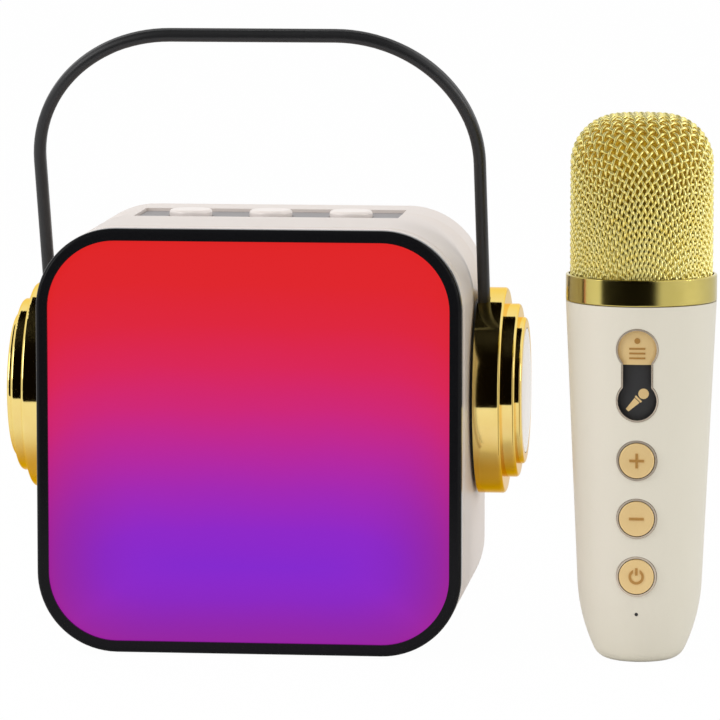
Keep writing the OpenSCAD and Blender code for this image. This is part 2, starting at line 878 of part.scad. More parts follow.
module knob_cap(side) {
    dome_r = (cap_r * cap_r + cap_dome * cap_dome) / (2 * cap_dome);
    color([0.9, 0.87, 0.83])
        from_side(side, disc3_x) {
            cylinder(r = cap_r, h = disc3_t);
            rotate_extrude($fn = 180)
                intersection() {
                    translate([0, disc3_t + cap_dome - dome_r]) circle(dome_r, $fn = 720);
                    translate([0, disc3_t]) square([cap_r, cap_dome + 1]);
                }
        }
}

module knob_hub_left() { knob_hub(-1); }
module knob_hub_right() { knob_hub(1); }
module knob_base_left() { knob_base(-1); }
module knob_base_right() { knob_base(1); }
module knob_step_left() { knob_step(-1); }
module knob_step_right() { knob_step(1); }
module knob_ring_left() { knob_ring(-1); }
module knob_ring_right() { knob_ring(1); }
module knob_cap_left() { knob_cap(-1); }
module knob_cap_right() { knob_cap(1); }

// screws with a wide washer head that keep the discs on their axles
module knob_screws() {
    tip = side_x - wall - washer_t - nut_t - 1;
    color([0.7, 0.7, 0.7])
        for (side = [-1, 1]) {
            from_side(side, axle_end) cylinder(r = washer_r, h = washer_t);
            from_side(side, axle_end) cylinder(r = screw_head_r, h = screw_head_t);
            from_side(side, tip) cylinder(r = screw_r, h = axle_end - tip + 0.1);
        }
}

module hub_nuts() {
    color([0.7, 0.7, 0.7])
        for (side = [-1, 1])
            difference() {
                union() {
                    from_side(side, side_x - wall - washer_t) cylinder(r = 12, h = washer_t);
                    from_side(side, side_x - wall - washer_t - nut_t)
                        cylinder(r = 3.4, h = nut_t, $fn = 6);
                }
                from_side(side, side_x - 10) cylinder(r = screw_r + running, h = 10);
            }
}

// ---------------------------------------------------------------- microphone

module at_mic(z = 0) {
    translate([mic_x, mic_y, z]) children();
}

// turns an upright drawing to face the front at a height on the microphone
module mic_front(z) {
    at_mic(z) rotate([90, 0, 0]) children();
}

module slice(c, r, a1, a2) {
    intersection() {
        translate(c) circle(r, $fn = 360);
        polygon([c, c + 2 * r * [cos(a1), sin(a1)], c + 2 * r * [cos(a2), sin(a2)]]);
    }
}

module mic_outline() {
    intersection() {
        union() {
            polygon([[0, 0], [mic_base_r, 0], bend_c, bend_end, curve_end,
                [mic_top_r, mic_len], [0, mic_len]]);
            slice(bend_c, mic_bend_r, -90, bend_a - 90);
            slice(curve_c, mic_curve_r, bend_a - 90, curve_a - 90);
        }
        square([2 * mic_top_r, mic_len]);
    }
}

// the body's cone, larger or smaller by a distance, where the controls are
module mic_skin(grow) {
    z0 = 24;
    z1 = mic_len - 1;
    at_mic(z0) cylinder(r1 = mic_r(z0) + grow, r2 = mic_r(z1) + grow, h = z1 - z0, $fn = 180);
}

module peanut(grow) {
    square([2 * (waist_r + grow), 2 * lobe_off], center = true);
    for (s = [-1, 1]) translate([0, s * lobe_off]) circle(lobe_r + grow);
}

module peanut_block(grow) {
    mic_front(window_z) translate([0, 0, mic_r(window_z) - 6])
        linear_extrude(10) peanut(grow);
}

// a block behind the switch window: half width and ends larger by a distance
module slot_block(side, end) {
    at_mic() box(-slider_half - side, slider_half + side, -30, -mic_r(window_z) + 5,
        window_z + slider_low - slide_travel - end, window_z + slider_high + end);
}

module mic_body() {
    rail_in = mic_board_half + slip;
    color([0.9, 0.89, 0.83])
        difference() {
            at_mic() rotate_extrude($fn = 180) mic_outline();
            difference() {
                at_mic() rotate_extrude($fn = 180)
                    polygon([[0, mic_floor], [mic_base_r + 1.5, mic_floor], [mic_base_r + 4.6, 9],
                        [mic_r(24) - mic_wall, 24], [mic_r(mic_len + over) - mic_wall, mic_len + over],
                        [0, mic_len + over]]);
                // rails for the board
                for (s = [-1, 1]) at_mic()
                    box(min(s * rail_in, s * 20), max(s * rail_in, s * 20), -20, mic_board_y + 0.4,
                        mic_board_low - 1, mic_board_high - 1);
            }
            peanut_block(rim_w);
            // the slider's slot behind the window
            intersection() {
                slot_block(0.3, 0.3);
                mic_skin(-cover_skin);
            }
            for (z = round_heights)
                mic_front(z) cylinder(r = rim_r + 0.1, h = 30);
            mic_front(dot_z) cylinder(r = 0.5, h = 30);
            at_mic() box(-4.8, 4.8, -1.9, 1.9, -over, mic_floor + over);
        }
}

module mic_collar() {
    round = 0.4;
    inner = spigot_r - 1.9;
    color([0.85, 0.66, 0.2])
        at_mic() rotate_extrude($fn = 180) difference() {
            union() {
                translate([inner, mic_len - spigot_l]) square([spigot_r - inner, spigot_l + 1]);
                translate([inner, collar_z]) square([collar_r - inner - round, collar_h]);
                translate([inner, collar_z + round])
                    square([collar_r - inner, collar_h - 2 * round]);
                translate([collar_r - round, collar_z + round]) circle(round);
                translate([collar_r - round, collar_top - round]) circle(round);
            }
            translate([0, mount_z]) square([mount_r + slip, collar_h]);
            translate([0, mount_z + mount_t]) square([head_r + 0.25, collar_h]);
        }
}

module capsule_mount() {
    color([0.15, 0.15, 0.15])
        at_mic(mount_z) difference() {
            cylinder(r = mount_r, h = mount_t);
            translate([0, 0, -over]) cylinder(r = 2, h = mount_t + 2 * over);
        }
}

module mic_capsule() {
    color([0.75, 0.76, 0.78])
        at_mic(mount_z + mount_t) {
            cylinder(r = 8, h = 7);
            cylinder(r = 6.5, h = 7.6);
        }
}

module mic_foam() {
    inset = 2.3;
    foam_r = head_r - inset;
    base = mount_z + mount_t + slip;
    color([0.85, 0.7, 0.25])
        at_mic() difference() {
            rotate_extrude($fn = 180) intersection() {
                union() {
                    translate([0, base]) square([foam_r, shoulder_z - base]);
                    translate([0, base]) square([crown_r, mic_h - inset - base]);
                    translate([crown_r, shoulder_z]) circle(shoulder_r - inset);
                }
                translate([0, base]) square([2 * head_r, mic_h]);
            }
            translate([0, 0, base - over]) cylinder(r = 8.3, h = 8.2 + over);
        }
}

// ---------------------------------------------------------------- woven head

// middle surface of the weave: radius, height and outward normal at a distance from the crown
weave_out = weave + wire_r;
net_r = head_r - weave_out;
net_shoulder = shoulder_r - weave_out;
arc_l = net_shoulder * PI / 2;
net_l = crown_r + arc_l + shoulder_z - head_base;

function net_angle(s) = s < crown_r ? 0 : min(90, (s - crown_r) / net_shoulder * 180 / PI);
function net_radius(s) = s < crown_r ? s : crown_r + net_shoulder * sin(net_angle(s));
function net_height(s) = shoulder_z + net_shoulder * cos(net_angle(s))
    - max(0, s - crown_r - arc_l);
// a point of the net given on the flat cloth, lifted off the middle surface
function net_point(p, lift) =
    let(s = norm(p), a = atan2(p[1], p[0]), t = net_angle(s), r = net_radius(s) + lift * sin(t))
    [r * cos(a), r * sin(a), net_height(s) + lift * cos(t)];
function net_normal(p) =
    let(a = atan2(p[1], p[0]), t = net_angle(norm(p)))
    [sin(t) * cos(a), sin(t) * sin(a), cos(t)];
function unit(v) = v / norm(v);

// places along one wire at crossings, from rim to rim
function wire_places(c) =
    let(l = sqrt(net_l * net_l - c * c), k = floor(l / wire_pitch - 0.12))
    concat([-l], [for (j = [-k:k]) j * wire_pitch], [l]);

// over and under: how far wire i swings out, x cells along it
function swing(i, x) =
    let(b = floor(x)) weave * ((i + b) % 2 == 0 ? 1 : -1) * (1 - 2 * (x - b));

// one wire: four corners round each place
function wire_rings(i, flip) =
    let(c = i * wire_pitch, v = wire_places(c), n = len(v),
        mid = [for (x = v) net_point([c, x], flip * swing(i, x / wire_pitch))])
    [for (j = [0:n - 1])
        let(t = unit(mid[min(j + 1, n - 1)] - mid[max(j - 1, 0)]),
            m = net_normal([c, v[j]]), b = unit(cross(t, m)), q = cross(b, t))
        each [mid[j] + wire_r * q, mid[j] + wire_r * b, mid[j] - wire_r * q, mid[j] - wire_r * b]];

// turns a list of points a quarter about the axis for the crossing wires
function quarter(pts) = [for (p = pts) [-p[1], p[0], p[2]]];

wire_n = floor(net_l / wire_pitch - 0.3);
wires = [for (i = [-wire_n:wire_n]) wire_rings(i, 1),
    for (i = [-wire_n:wire_n]) quarter(wire_rings(i, -1))];

// the ring that the wires end on
hoop_n = 48;
hoop_z = head_base - hoop_h - hoop_gap;
hoop = [for (k = [0:hoop_n - 1], q = [[-1, 1], [1, 1], [1, -1], [-1, -1]])
    let(a = 360 * k / hoop_n, r = net_r + hoop_w * q[0], z = hoop_z + hoop_h * q[1])
    [r * cos(a), r * sin(a), z]];

function tube_faces(start, rings, closed) = concat(
    [for (j = [0:rings - (closed ? 1 : 2)], k = [0:3])
        let(a = start + 4 * j + k, b = start + 4 * j + (k + 1) % 4,
            step = closed && j == rings - 1 ? -4 * (rings - 1) : 4)
        each [[a, b, b + step], [a, b + step, a + step]]],
    closed ? [] : [[start + 3, start + 2, start + 1], [start + 3, start + 1, start],
        for (e = [start + 4 * (rings - 1)]) each [[e, e + 1, e + 2], [e, e + 2, e + 3]]]);

function running_sum(v, i = 0, total = 0) =
    i >= len(v) ? [] : concat([total], running_sum(v, i + 1, total + v[i]));

module mic_grille() {
    counts = [for (w = wires) len(w)];
    starts = running_sum(counts);
    all_points = concat([for (w = wires) each w], hoop);
    hoop_start = len(all_points) - len(hoop);
    faces = concat([for (i = [0:len(wires) - 1]) each tube_faces(starts[i], counts[i] / 4, false)],
        tube_faces(hoop_start, hoop_n, true));
    color([0.85, 0.68, 0.25])
        at_mic() rotate(50) polyhedron(all_points, faces);
}

// ---------------------------------------------------------------- microphone controls

// the distance of a round button's flange from the microphone's axis
function flange_at(z) = sqrt(pow(mic_r(z) - mic_wall, 2) - pow(rim_r + 0.6, 2)) - 0.3;
press_t = 0.8;

module mic_board() {
    clip_t = 0.8;
    color([0.1, 0.35, 0.2])
        at_mic() {
            box(-mic_board_half, mic_board_half, mic_board_y, mic_board_y + mic_board_t,
                mic_board_low, mic_board_high);
            for (z = round_heights)
                box(-1.8, 1.8, press_t + round_travel + switch_gap - flange_at(z),
                    mic_board_y + 0.5, z - 1.8, z + 1.8);
            // the slide switch that the slider's stem works
            box(mic_board_half - 2.6, mic_board_half - 0.4, mic_board_y - slide_switch_t,
                mic_board_y + 0.5, window_z - slide_switch_l / 2, window_z + slide_switch_l / 2);
            // contact clips at both ends of the cell
            for (z = [mic_cell_z - slip - clip_t, mic_cell_z + mic_cell_l + slip])
                box(-5, 5, mic_board_y + 0.6, mic_cell_y + 4, z, z + clip_t);
        }
}

mic_cell_r = 7.1;
mic_cell_l = 50;
mic_cell_z = 22;
mic_cell_y = mic_board_y + mic_board_t + mic_cell_r + slip;

module mic_battery() {
    color([0.2, 0.45, 0.7])
        at_mic(mic_cell_z) translate([0, mic_cell_y, 0]) {
            cylinder(r = mic_cell_r, h = mic_cell_l - 1.5);
            cylinder(r = 2.5, h = mic_cell_l);
        }
}

module mic_usb_socket() {
    color([0.75, 0.76, 0.78])
        at_mic() difference() {
            box(-4.6, 4.6, -1.7, 1.7, 0.4, 7);
            box(-4.2, 4.2, -1.3, 1.3, -over, 6);
        }
}

module switch_rim() {
    color([0.75, 0.72, 0.68])
        difference() {
            intersection() {
                peanut_block(rim_w - 0.1);
                mic_skin(0.2);
            }
            peanut_block(0);
            mic_skin(-cover_skin);
        }
}

module switch_slider() {
    // lies behind the window and follows the body's curve
    color([0.85, 0.66, 0.2]) {
        difference() {
            intersection() {
                at_mic() box(-slider_half, slider_half, -30, 0,
                    window_z + slider_low, window_z + slider_high);
                mic_skin(-slider_skin);
            }
            mic_skin(-slider_skin - slider_t);
        }
        // grip relief: one dot and three bars
        difference() {
            intersection() {
                mic_front(window_z + lobe_off) translate([0, 0, 8]) linear_extrude(12) {
                    translate([0, 2.4]) circle(0.8);
                    for (i = [-1:1]) translate([-2.2, i * 1.3 - 1.3]) square([4.4, 0.5]);
                }
                mic_skin(-slider_skin + 0.2);
            }
            mic_skin(-slider_skin - slider_t / 2);
        }
        // stem towards the slide switch, clear of it as the slider runs down the cone
        at_mic() box(slider_half - 0.8, slider_half,
            1.3 - sqrt(pow(mic_r(window_z), 2) - pow(slider_half, 2)),
            mic_board_y - slide_switch_t - slip - slide_travel * mic_slope,
            window_z + lobe_off - 1, window_z + lobe_off + 1);
    }
}

module switch_track() {
    half = slider_half - 1.1;
    color([0.05, 0.05, 0.05])
        difference() {
            union() {
                intersection() {
                    at_mic() box(-half, half, -30, 0,
                        window_z + slider_low - slide_travel, window_z + slider_high);
                    mic_skin(-track_skin);
                }
                for (s = [-1, 1])
                    at_mic() box(-2, 2, -mic_r(window_z) + 3, mic_board_y - 0.1,
                        window_z + s * lobe_off - 2, window_z + s * lobe_off + 2);
            }
            difference() {
                mic_skin(-track_skin - 1.2);
                for (s = [-1, 1])
                    at_mic() box(-2, 2, -30, mic_board_y - 0.1,
                        window_z + s * lobe_off - 2, window_z + s * lobe_off + 2);
            }
        }
}

// raised marks on the round buttons: plus, minus and power
module mark(i) {
    bar = 0.7;
    if (i < 2) square([4, bar], center = true);
    if (i == 0) square([bar, 4], center = true);
    if (i == 2) {
        difference() {
            circle(2.1);
            circle(2.1 - bar);
            translate([-0.9, 0]) square([1.8, 3]);
        }
        translate([-bar / 2, 0.4]) square([bar, 2]);
    }
}

module round_button(i) {
    z = round_heights[i];
    face = mic_r(z) + 0.3;
    color([0.85, 0.66, 0.2])
        mic_front(z) {
            translate([0, 0, flange_at(z) - press_t]) cylinder(r = rim_r + 0.5, h = press_t);
            translate([0, 0, flange_at(z) - 0.1])
                disc(rim_r - rim_w - slip, face - flange_at(z) + 0.1, 0.3);
            translate([0, 0, face - 0.1]) linear_extrude(0.35) mark(i);
        }
}

module mic_plus() { round_button(0); }
module mic_minus() { round_button(1); }
module mic_power() { round_button(2); }

module button_rims() {
    color([0.3, 0.26, 0.2])
        for (z = round_heights)
            mic_front(z) translate([0, 0, mic_r(z) - 1.9]) difference() {
                cylinder(r = rim_r, h = 2);
                translate([0, 0, -over]) cylinder(r = rim_r - rim_w, h = 4);
            }
}

module mic_indicator() {
    color([0.05, 0.05, 0.05])
        mic_front(dot_z) translate([0, 0, mic_curve_at(dot_z) - 2.7]) cylinder(r = 0.42, h = 2.75);
}

front_diffuser();
front_bezel();
front_band();
light_tray();
led_board();
main_shell();
top_panel();
button_left();
button_middle();
button_right();
button_board();
base_pad();
rear_cover();
rear_grille();
driver_basket();
driver_surround();
driver_cone();
driver_magnet();
driver_screws();
main_board();
usb_socket();
aux_socket();
card_slot();
power_switch();
power_slider();
battery_cell();
battery_cradle();
rear_screws();
handle();
knob_hub_left();
knob_hub_right();
knob_base_left();
knob_base_right();
knob_step_left();
knob_step_right();
knob_ring_left();
knob_ring_right();
knob_cap_left();
knob_cap_right();
knob_screws();
hub_nuts();
mic_body();
mic_collar();
mic_grille();
mic_foam();
mic_capsule();
capsule_mount();
mic_board();
mic_battery();
switch_rim();
switch_slider();
switch_track();
mic_plus();
mic_minus();
mic_power();
button_rims();
mic_indicator();
mic_usb_socket();
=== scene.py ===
"""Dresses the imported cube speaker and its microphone, and sets up a plain white studio."""

import json
import math

import bmesh
import bpy
from mathutils import Matrix, Vector


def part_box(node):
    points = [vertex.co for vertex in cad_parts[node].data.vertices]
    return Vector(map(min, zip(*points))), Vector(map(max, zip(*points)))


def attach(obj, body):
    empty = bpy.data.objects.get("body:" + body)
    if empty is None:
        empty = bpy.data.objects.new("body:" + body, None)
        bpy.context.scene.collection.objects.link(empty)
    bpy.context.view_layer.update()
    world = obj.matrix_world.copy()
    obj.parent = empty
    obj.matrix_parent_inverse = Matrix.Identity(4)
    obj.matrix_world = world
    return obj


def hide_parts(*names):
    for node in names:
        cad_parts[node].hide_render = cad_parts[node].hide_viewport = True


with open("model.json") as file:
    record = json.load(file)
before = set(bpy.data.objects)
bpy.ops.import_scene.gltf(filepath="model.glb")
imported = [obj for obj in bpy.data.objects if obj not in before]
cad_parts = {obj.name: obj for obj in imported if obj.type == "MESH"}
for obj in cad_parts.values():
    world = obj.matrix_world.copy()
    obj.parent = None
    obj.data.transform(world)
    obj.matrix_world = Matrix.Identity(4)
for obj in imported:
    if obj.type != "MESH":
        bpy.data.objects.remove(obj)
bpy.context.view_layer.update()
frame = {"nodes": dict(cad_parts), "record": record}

MM = 0.001
TAU = 2 * math.pi
AXIS_HOLE_R = 0.01      # turned pieces close with a tiny flat end instead of a point


def in_mm(corners):
    """The two corners of a CAD node's box, in millimetres."""
    return [corner / MM for corner in corners]


# the microphone's body and woven head share one upright axis
mic_low, mic_high = in_mm(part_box("mic_body"))
head_low, head_high = in_mm(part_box("mic_grille"))
mic_x = (mic_low.x + mic_high.x) / 2
mic_y = (mic_low.y + mic_high.y) / 2
mic_top_r = (mic_high.x - mic_low.x) / 2
head_r = (head_high.x - head_low.x) / 2
CONE_SLOPE = 0.0456     # what the body's radius loses per millimetre downwards
SHOULDER_R = 13.5       # rounding between the head's wall and its crown


# ---------------------------------------------------------------- shader kit


def srgb(red, green, blue):
    """Linear colour of an 8-bit screen colour."""

    def linear(value):
        share = value / 255
        return share / 12.92 if share <= 0.04045 else ((share + 0.055) / 1.055) ** 2.4

    return (linear(red), linear(green), linear(blue), 1.0)


class Field:
    """A socket whose value varies over a surface; arithmetic on it adds Math nodes."""

    def __init__(self, shading, socket):
        self.shading, self.socket = shading, socket

    def math(self, operation, *operands):
        numbers = dict(enumerate(operands))
        return self.shading.node("ShaderNodeMath", {"operation": operation}, numbers)

    def __add__(self, other):
        return self.math("ADD", self, other)

    def __sub__(self, other):
        return self.math("SUBTRACT", self, other)

    def __rsub__(self, other):
        return self.math("SUBTRACT", other, self)

    def __mul__(self, other):
        return self.math("MULTIPLY", self, other)

    def __truediv__(self, other):
        return self.math("DIVIDE", self, other)

    def __pow__(self, power):
        return self.math("POWER", self, power)

    def __gt__(self, limit):
        return self.math("GREATER_THAN", self, limit)

    def __lt__(self, limit):
        return self.math("LESS_THAN", self, limit)

    def __abs__(self):
        return self.math("ABSOLUTE", self)

    __radd__ = __add__
    __rmul__ = __mul__

    def root(self):
        return self.math("SQRT", self)

    def sine(self):
        return self.math("SINE", self)

    def larger(self, other):
        return self.math("MAXIMUM", self, other)

    def smaller(self, other):
        return self.math("MINIMUM", self, other)

    def between(self, low, high):
        """0 at low, 1 at high, eased at both ends."""
        return self.shading.node(
            "ShaderNodeMapRange", {"interpolation_type": "SMOOTHSTEP"},
            {"Value": self, "From Min": low, "From Max": high})


def hypotenuse(first, second):
    """Length of two steps at right angles to each other."""
    return (first * first + second * second).root()


class Shading:
    """A node tree of a material or of the world, built from Python expressions."""

    def __init__(self, owner):
        owner.use_nodes = True
        self.tree = owner.node_tree
        self.tree.nodes.clear()

    def put(self, socket, value):
        if isinstance(value, Field):
            self.tree.links.new(value.socket, socket)
        else:
            socket.default_value = value

    def node(self, kind, settings, values, out=0):
        """Adds a node: its settings first, then its sockets; gives back one output or several."""
        made = self.tree.nodes.new(kind)
        for name, setting in settings.items():
            if name == "stops":
                self.fill_ramp(made.color_ramp, setting)
            else:
                setattr(made, name, setting)
        for key, value in values.items():
            self.put(self.find(made, key), value)
        if out is None:
            return None
        if isinstance(out, tuple):
            return [Field(self, made.outputs[name]) for name in out]
        return Field(self, made.outputs[out])

    def find(self, made, key):
        if isinstance(key, int):
            return made.inputs[key]
        return next(socket for socket in made.inputs if key in (socket.identifier, socket.name))

    def fill_ramp(self, ramp, stops):
        while len(ramp.elements) < len(stops):
            ramp.elements.new(0.5)
        for element, (position, colour) in zip(ramp.elements, stops):
            element.position = position
            element.color = colour

    def seen_as(self):
        """Whether the camera sees the surface, and whether a mirror or glass does."""
        camera, glossy, clear = self.node(
            "ShaderNodeLightPath", {}, {},
            out=("Is Camera Ray", "Is Glossy Ray", "Is Transmission Ray"))
        return camera, glossy.larger(clear)

    def show_mixed(self, factor, first, second, output="ShaderNodeOutputMaterial"):
        """Shows the first shader where factor is 0 and the second where it is 1."""
        mixed = self.node("ShaderNodeMixShader", {}, {0: factor, 1: first, 2: second})
        self.node(output, {}, {"Surface": mixed}, out=None)


class Finish(Shading):
    """One surface finish: its shader and what varies over it."""

    def __init__(self, name, colour, roughness, metallic=0.0, **constants):
        self.material = bpy.data.materials.new(name)
        super().__init__(self.material)
        values = {"Base Color": colour, "Roughness": roughness, "Metallic": metallic}
        values.update({key.replace("_", " "): value for key, value in constants.items()})
        shader = self.node("ShaderNodeBsdfPrincipled", {}, values)
        self.shader = shader.socket.node
        self.node("ShaderNodeOutputMaterial", {}, {"Surface": shader}, out=None)
        self.place = self.node("ShaderNodeTexCoord", {}, {}, out="Object")

    def axes(self):
        """X, Y and Z of the place on the surface, in millimetres."""
        scaled = self.node("ShaderNodeVectorMath", {"operation": "SCALE"},
                           {0: self.place, "Scale": 1 / MM})
        return self.node("ShaderNodeSeparateXYZ", {}, {0: scaled}, out=("X", "Y", "Z"))

    def noise(self, size, detail=2.0, stretch=(1, 1, 1), roughness=0.5):
        """Noise from 0 to 1 whose features measure about size millimetres."""
        spread = self.node("ShaderNodeMapping", {}, {"Vector": self.place, "Scale": stretch})
        return self.node("ShaderNodeTexNoise", {},
                         {"Vector": spread, "Scale": 1 / MM / size, "Detail": detail,
                          "Roughness": roughness})

    def noise_along(self, distance, size):
        """Noise that varies only with a distance in millimetres, such as turned rings."""
        return self.node("ShaderNodeTexNoise", {"noise_dimensions": "1D"},
                         {"W": distance, "Scale": 1 / size})

    def mix(self, factor, first, second):
        return self.node("ShaderNodeMix", {"data_type": "RGBA"},
                         {"Factor_Float": factor, "A_Color": first, "B_Color": second}, out=2)

    def colour(self, value):
        self.put(self.shader.inputs["Base Color"], value)
        return self

    def roughness(self, field, low, high):
        self.put(self.shader.inputs["Roughness"], field * (high - low) + low)
        return self

    def relief(self, height, depth):
        """Bump whose full height is depth millimetres."""
        normal = self.node("ShaderNodeBump", {}, {"Height": height, "Distance": depth * MM,
                                                  "Strength": 1.0})
        self.put(self.shader.inputs["Normal"], normal)
        return self


# ---------------------------------------------------------------- finishes of the speaker


def moulded(name, dark, light, grain, depth, rough, cloud=28.0, **constants):
    """Satin moulded plastic: faint clouds of colour, fine grain in gloss and relief."""
    finish = Finish(name, light, rough[0], **constants)
    clouds = finish.noise(cloud, detail=3.0)
    fine = finish.noise(grain, detail=3.0)
    finish.colour(finish.mix(clouds * 0.6 + fine * 0.4, dark, light))
    finish.roughness(fine * 0.6 + clouds * 0.4, *rough)
    return finish.relief(fine, depth)


def champagne_shell():
    return moulded("champagne_satin", srgb(224, 213, 206), srgb(231, 221, 214), grain=0.45,
                   depth=0.012, rough=(0.34, 0.46), Coat_Weight=0.05, Coat_Roughness=0.2,
                   Specular_IOR_Level=0.3)


def cream_cap():
    return moulded("cream_gloss", srgb(243, 232, 219), srgb(249, 240, 229), grain=1.4,
                   depth=0.006, rough=(0.16, 0.24), Coat_Weight=0.5, Coat_Roughness=0.06)


def grey_strip():
    return moulded("strip_grey", srgb(146, 142, 143), srgb(158, 154, 155), grain=0.3,
                   depth=0.02, rough=(0.42, 0.55), Specular_IOR_Level=0.2)


def black_plastic():
    return moulded("black_matt", (0.018, 0.018, 0.019, 1), (0.03, 0.03, 0.031, 1), grain=0.35,
                   depth=0.02, rough=(0.5, 0.66))


def painted_grille():
    return moulded("grille_paint", (0.022, 0.022, 0.023, 1), (0.038, 0.038, 0.039, 1),
                   grain=0.25, depth=0.02, rough=(0.42, 0.6), cloud=6.0)


def cell_sleeve():
    return moulded("blue_sleeve", srgb(58, 112, 168), srgb(74, 130, 184), grain=1.2,
                   depth=0.01, rough=(0.25, 0.38), Coat_Weight=0.4, Coat_Roughness=0.1)


def white_plastic():
    return moulded("tray_white", srgb(226, 226, 222), srgb(238, 238, 234), grain=0.6,
                   depth=0.015, rough=(0.4, 0.55))


def chip_board():
    """White lacquered board whose light chips have a yellow coat."""
    chips_reach = 1.0
    whites = srgb(222, 222, 216), srgb(234, 234, 229)
    finish = moulded("board_white", *whites, grain=0.6, depth=0.01, rough=(0.3, 0.45))
    low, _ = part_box("led_board")
    _, y, _ = finish.axes()
    chip = y < low.y / MM + chips_reach
    base = finish.mix(finish.noise(0.6), *whites)
    return finish.colour(finish.mix(chip, base, srgb(232, 206, 96)))


def circuit_board():
    """Green lacquer over copper tracks, with pads in tin."""
    track_rate, track_wander = 1.7, 14.0
    pads_per_metre, pad_r = 330.0, 0.16
    finish = Finish("board_green", srgb(24, 92, 52), roughness=0.35, Coat_Weight=0.4,
                    Coat_Roughness=0.1)
    x, y, z = finish.axes()

    def winding(distance, bends):
        return (distance * track_rate + finish.noise(bends, detail=0.0) * track_wander).sine()

    tracks = winding(x, 9.0).between(0.55, 0.75).larger(winding(y + z, 11.0).between(0.6, 0.8))
    green = finish.mix(tracks, srgb(20, 78, 44), srgb(38, 120, 70))
    pads = finish.node("ShaderNodeTexVoronoi", {}, {"Vector": finish.place,
                                                    "Scale": pads_per_metre})
    tinned = pads < pad_r
    finish.colour(finish.mix(tinned, green, srgb(186, 182, 170)))
    finish.roughness(tracks * 0.5 + tinned * 0.5, 0.28, 0.46)
    return finish.relief(tracks * 0.6 + tinned * 0.4, 0.05)


def black_bezel():
    black = (0.009, 0.009, 0.01, 1)
    finish = Finish("piano_black", black, roughness=0.1, Specular_IOR_Level=0.09)
    waves = finish.noise(9.0)
    dust = finish.noise(0.35)
    finish.colour(finish.mix(dust, (0.004, 0.004, 0.005, 1), black))
    finish.roughness(waves * 0.5 + dust * 0.5, 0.12, 0.22)
    return finish.relief(waves, 0.006)


def black_handle():
    finish = Finish("handle_black", (0.014, 0.014, 0.015, 1), roughness=0.4,
                    Specular_IOR_Level=0.42)
    grain = finish.noise(0.5, detail=3.0)
    long_marks = finish.noise(7.0)
    finish.colour(finish.mix(grain, (0.009, 0.009, 0.01, 1), (0.017, 0.017, 0.018, 1)))
    finish.roughness(grain * 0.7 + long_marks * 0.3, 0.3, 0.44)
    return finish.relief(grain, 0.015)


def rubber_pad():
    rib_rate = 2.1
    finish = Finish("rubber_grey", (0.05, 0.05, 0.05, 1), roughness=0.8)
    x, y, _ = finish.axes()
    grain = finish.noise(0.6, detail=4.0)
    ribs = (x * rib_rate).sine() * (y * rib_rate).sine()
    finish.colour(finish.mix(grain, (0.03, 0.03, 0.031, 1), (0.06, 0.06, 0.061, 1)))
    finish.roughness(grain, 0.7, 0.92)
    return finish.relief(ribs * 0.6 + grain * 0.4, 0.08)


def plain_steel(name="zinc_steel", shadow_y=None):
    """Zinc-plated steel; whatever lies further in from the rear than shadow_y is in shadow."""
    finish = Finish(name, srgb(196, 197, 199), roughness=0.3, metallic=1.0)
    brushed = finish.noise(0.5, detail=3.0, stretch=(0.15, 1, 1))
    spots = finish.noise(2.5, detail=3.0)
    plate = finish.mix(spots, srgb(176, 177, 180), srgb(212, 213, 214))
    if shadow_y is not None:
        _, y, _ = finish.axes()
        plate = finish.mix(y < shadow_y, plate, srgb(74, 75, 78))
    finish.colour(plate)
    finish.roughness(brushed * 0.7 + spots * 0.3, 0.2, 0.42)
    return finish.relief(brushed, 0.01)


def paper_cone():
    finish = Finish("pressed_paper", (0.045, 0.045, 0.05, 1), roughness=0.85)
    fibres = finish.noise(0.9, detail=5.0, roughness=0.7)
    finish.colour(finish.mix(fibres, (0.02, 0.02, 0.022, 1), (0.075, 0.075, 0.08, 1)))
    finish.roughness(fibres, 0.75, 0.95)
    return finish.relief(fibres, 0.12)


def plated_gold():
    """Mirror plating on the knobs: turned rings, a faint haze and a painted reflection that
    deepens the undersides.
    """
    finish = Finish("plated_gold", (0.93, 0.69, 0.25, 1), roughness=0.08, metallic=1.0,
                    Specular_Tint=(1.0, 0.78, 0.34, 1))
    x, y, z = finish.axes()
    low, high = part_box("knob_base_right")
    centre = (low + high) / 2 / MM
    knob_r = (high.z - low.z) / 2 / MM
    face_rings = finish.noise_along(hypotenuse(y - centre.y, z - centre.z), 0.35)
    rim_rings = finish.noise_along(x, 0.5)
    haze = finish.noise(5.0, detail=3.0)
    specks = finish.noise(0.3)
    plate = finish.mix(haze, (0.90, 0.68, 0.21, 1), (0.96, 0.77, 0.30, 1))
    # painted reflection and shade: the undersides are coloured a deeper orange gold, as gold
    # mirrored in gold and in the shaded floor
    painted_underside_reflection = (centre.z - z).between(0.3 * knob_r, 0.7 * knob_r)
    finish.colour(finish.mix(painted_underside_reflection, plate, (0.68, 0.37, 0.04, 1)))
    finish.roughness(haze * 0.5 + specks * 0.5, 0.04, 0.1)
    return finish.relief(face_rings * 0.5 + rim_rings * 0.3 + specks * 0.2, 0.0015)


def spun_button(name, node):
    """Pinkish champagne lacquer over a cap turned on its own centre."""
    finish = Finish(name, srgb(236, 226, 218), roughness=0.3, metallic=0.1, Coat_Weight=0.05,
                    Specular_IOR_Level=0.3)
    low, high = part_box(node)
    centre = (low + high) / 2 / MM
    x, y, _ = finish.axes()
    rings = finish.noise_along(hypotenuse(x - centre.x, y - centre.y), 0.22)
    cloud = finish.noise(5.0)
    finish.colour(finish.mix(rings * 0.6 + cloud * 0.4, srgb(238, 226, 219), srgb(250, 243, 238)))
    finish.roughness(rings, 0.24, 0.4)
    return finish.relief(rings, 0.008)


